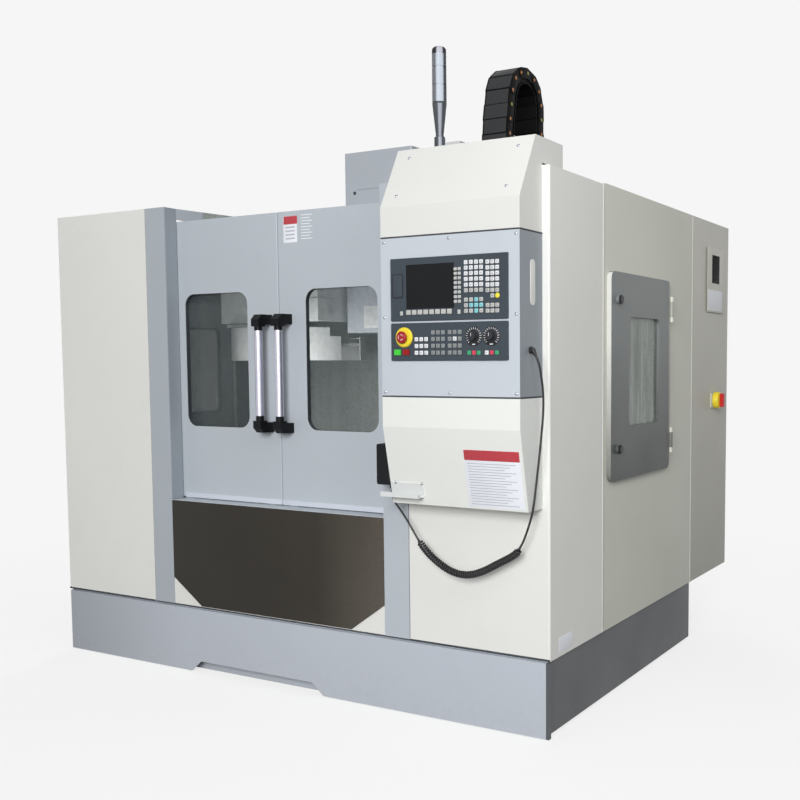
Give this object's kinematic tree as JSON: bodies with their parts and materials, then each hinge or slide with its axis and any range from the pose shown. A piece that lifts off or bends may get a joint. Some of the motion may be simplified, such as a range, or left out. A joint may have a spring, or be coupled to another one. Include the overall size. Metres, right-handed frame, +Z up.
{
  "type": "vertical machining centre",
  "caption": "Vertical machining centre in a sheet-metal guard, with sliding front doors, an operator station, a pendant on a cord, a slotted table and an umbrella tool magazine.",
  "frame": {"origin": "under the middle of the machine's overall box, on the floor the feet stand on", "axes": "+Z up, +Y from the sliding doors to the electrical cabinet at the back, +X to the operator station's side"},
  "size_m": [2.3545, 2.0315, 2.5047],
  "materials": {
    "casting": "satin grey-green paint on cast iron",
    "feet": "dark cast pads",
    "rail_steel": "ground steel",
    "motor": "black motor paint",
    "plinth_grey": "satin blue-grey paint",
    "cover_beige": "satin off-white paint",
    "door_grey": "satin blue-grey paint",
    "apron_dark": "glossy dark brown-black paint",
    "inner_grey": "satin grey paint",
    "cabinet_beige": "satin off-white paint",
    "drives": "moulded housings on a zinc plate",
    "stop_red": "glossy red plastic",
    "window": "clear pane",
    "handle_mixed": "brushed aluminium tube between black moulded end caps",
    "door_slate": "satin slate paint",
    "station_blue_grey": "satin pale blue-grey paint",
    "station_beige": "satin off-white paint",
    "unit_black": "textured dark plastic",
    "screen": "anti-glare glass over a dark display",
    "safety_yellow": "glossy yellow plastic",
    "start_green": "glossy green plastic",
    "dial_black": "matt black plastic",
    "tray_white": "white paint",
    "pendant_case": "matt dark plastic",
    "gland_black": "matt black plastic",
    "cord_black": "matt black sheath",
    "lamp_base": "polished metal foot and cone",
    "lamp_lens": "silver tube with fine ribs and a domed cap",
    "table_steel": "ground cast iron",
    "housing_white": "light grey paint",
    "bellows": "folded dark fabric",
    "magazine_white": "light grey paint",
    "gripper": "steel disc with plastic-faced grippers",
    "chain_black": "matt black nylon links with orange pins"
  },
  "bodies": {
    "frame": {"bed": "casting", "levelling_feet": "feet", "column": "casting", "linear_rails": "rail_steel", "drive_motors": "motor", "plinth": "plinth_grey", "left_front_cover": "cover_beige", "right_front_cover": "cover_beige", "door_frame": "door_grey", "apron_panel": "apron_dark", "lower_front_panel": "cover_beige", "side_panels": "cover_beige", "splash_guard": "inner_grey", "electrical_cabinet": "cabinet_beige", "cabinet_hinges": "cabinet_beige", "cabinet_drives": "drives", "control_box": "station_blue_grey", "control_hood": "station_beige", "control_lower_box": "station_beige", "operator_unit": "unit_black", "machine_panel": "unit_black", "display_glass": "screen", "estop_collar": "safety_yellow", "pendant_tray": "tray_white", "pendant_body": "pendant_case", "cord_gland": "gland_black", "pendant_cord": "cord_black", "signal_lamp_mount": "lamp_base", "signal_lamp_tube": "lamp_lens", "cable_chain": "chain_black", "magazine_bracket": "housing_white", "column_bellows": "bellows"},
    "left_sliding_door": {"left_door": "door_grey", "left_door_glass": "window", "left_door_handle": "handle_mixed"},
    "right_sliding_door": {"right_door": "door_grey", "right_door_glass": "window", "right_door_handle": "handle_mixed"},
    "right_access_door": {"right_side_door": "door_slate", "right_side_glass": "window"},
    "left_access_door": {"left_side_door": "door_slate", "left_side_glass": "window"},
    "rear_door": {"cabinet_door": "cabinet_beige"},
    "isolator": {"isolator_handle": "stop_red"},
    "emergency_stop": {"estop_button": "stop_red"},
    "start_key": {"start_button": "start_green"},
    "stop_key": {"stop_button": "stop_red"},
    "feed_override": {"feed_dial": "dial_black"},
    "spindle_override": {"spindle_dial": "dial_black"},
    "pendant_wheel": {"pendant_dial": "dial_black"},
    "saddle": {"saddle": "casting"},
    "table": {"table": "table_steel"},
    "head": {"spindle_head": "casting", "head_cover": "housing_white"},
    "spindle": {"spindle": "rail_steel"},
    "magazine": {"magazine_carriage": "magazine_white"},
    "carousel": {"carousel": "gripper"},
    "x_screw": {"x_screw": "rail_steel"},
    "y_screw": {"y_screw": "rail_steel"},
    "z_screw": {"z_screw": "rail_steel"}
  },
  "joints": [
    {"name": "left_door_slide", "type": "slide", "parent": "frame", "child": "left_sliding_door", "axis": [-1, 0, 0], "range_m": [0, 0.43]},
    {"name": "right_door_slide", "type": "slide", "parent": "frame", "child": "right_sliding_door", "axis": [1, 0, 0], "range_m": [0, 0.43]},
    {"name": "right_access_hinge", "type": "hinge", "parent": "frame", "child": "right_access_door", "pos_m": [1.1535, 0.1965, 1.1475], "axis": [0, 0, 1], "range_deg": [0, 110]},
    {"name": "left_access_hinge", "type": "hinge", "parent": "frame", "child": "left_access_door", "pos_m": [-1.1535, 0.1965, 1.1475], "axis": [0, 0, -1], "range_deg": [0, 110]},
    {"name": "rear_door_hinge", "type": "hinge", "parent": "frame", "child": "rear_door", "pos_m": [-0.2285, 1.01, 1.032], "axis": [0, 0, 1], "range_deg": [0, 120]},
    {"name": "isolator_turn", "type": "hinge", "parent": "frame", "child": "isolator", "pos_m": [1.141, 0.8095, 1.026], "axis": [1, 0, 0], "range_deg": [0, 90]},
    {"name": "emergency_stop_push", "type": "slide", "parent": "frame", "child": "emergency_stop", "axis": [0, 1, 0], "range_m": [0, 0.004]},
    {"name": "start_push", "type": "slide", "parent": "frame", "child": "start_key", "axis": [0, 1, 0], "range_m": [0, 0.0025], "stiffness_N_per_m": 300, "springref_m": -0.001},
    {"name": "stop_push", "type": "slide", "parent": "frame", "child": "stop_key", "axis": [0, 1, 0], "range_m": [0, 0.0025], "stiffness_N_per_m": 300, "springref_m": -0.001},
    {"name": "feed_override_turn", "type": "hinge", "parent": "frame", "child": "feed_override", "pos_m": [0.953, -0.9935, 1.281], "axis": [0, 1, 0], "range_deg": [-135, 135]},
    {"name": "spindle_override_turn", "type": "hinge", "parent": "frame", "child": "spindle_override", "pos_m": [1.015, -0.9935, 1.281], "axis": [0, 1, 0], "range_deg": [-135, 135]},
    {"name": "pendant_wheel_turn", "type": "hinge", "parent": "frame", "child": "pendant_wheel", "pos_m": [0.549, -0.9105, 0.895], "axis": [-1, 0, 0], "continuous": true},
    {"name": "y_axis", "type": "slide", "parent": "frame", "child": "saddle", "axis": [0, 1, 0], "range_m": [-0.2, 0.2]},
    {"name": "x_axis", "type": "slide", "parent": "saddle", "child": "table", "axis": [1, 0, 0], "range_m": [-0.325, 0.325]},
    {"name": "z_axis", "type": "slide", "parent": "frame", "child": "head", "axis": [0, 0, 1], "range_m": [-0.38, 0.12], "deforming": ["column_bellows", "cable_chain"]},
    {"name": "spindle_turn", "type": "hinge", "parent": "head", "child": "spindle", "pos_m": [-0.01, -0.0655, 1.298], "axis": [0, 0, 1], "continuous": true},
    {"name": "magazine_slide", "type": "slide", "parent": "frame", "child": "magazine", "axis": [1, 0, 0], "range_m": [0, 0.258]},
    {"name": "carousel_turn", "type": "hinge", "parent": "magazine", "child": "carousel", "pos_m": [-0.518, -0.0655, 1.28], "axis": [0, 0, 1], "continuous": true},
    {"name": "x_screw_turn", "type": "hinge", "parent": "saddle", "child": "x_screw", "pos_m": [-0.01, -0.0655, 0.706], "axis": [1, 0, 0], "continuous": true},
    {"name": "y_screw_turn", "type": "hinge", "parent": "frame", "child": "y_screw", "pos_m": [-0.01, -0.1405, 0.452], "axis": [0, 1, 0], "continuous": true},
    {"name": "z_screw_turn", "type": "hinge", "parent": "frame", "child": "z_screw", "pos_m": [-0.01, 0.4425, 1.4], "axis": [0, 0, 1], "continuous": true}
  ],
  "couplings": [
    {"joint": "x_screw_turn", "follows": "x_axis", "rad_per_m": 628.32},
    {"joint": "y_screw_turn", "follows": "y_axis", "rad_per_m": 628.32},
    {"joint": "z_screw_turn", "follows": "z_axis", "rad_per_m": 628.32}
  ]
}
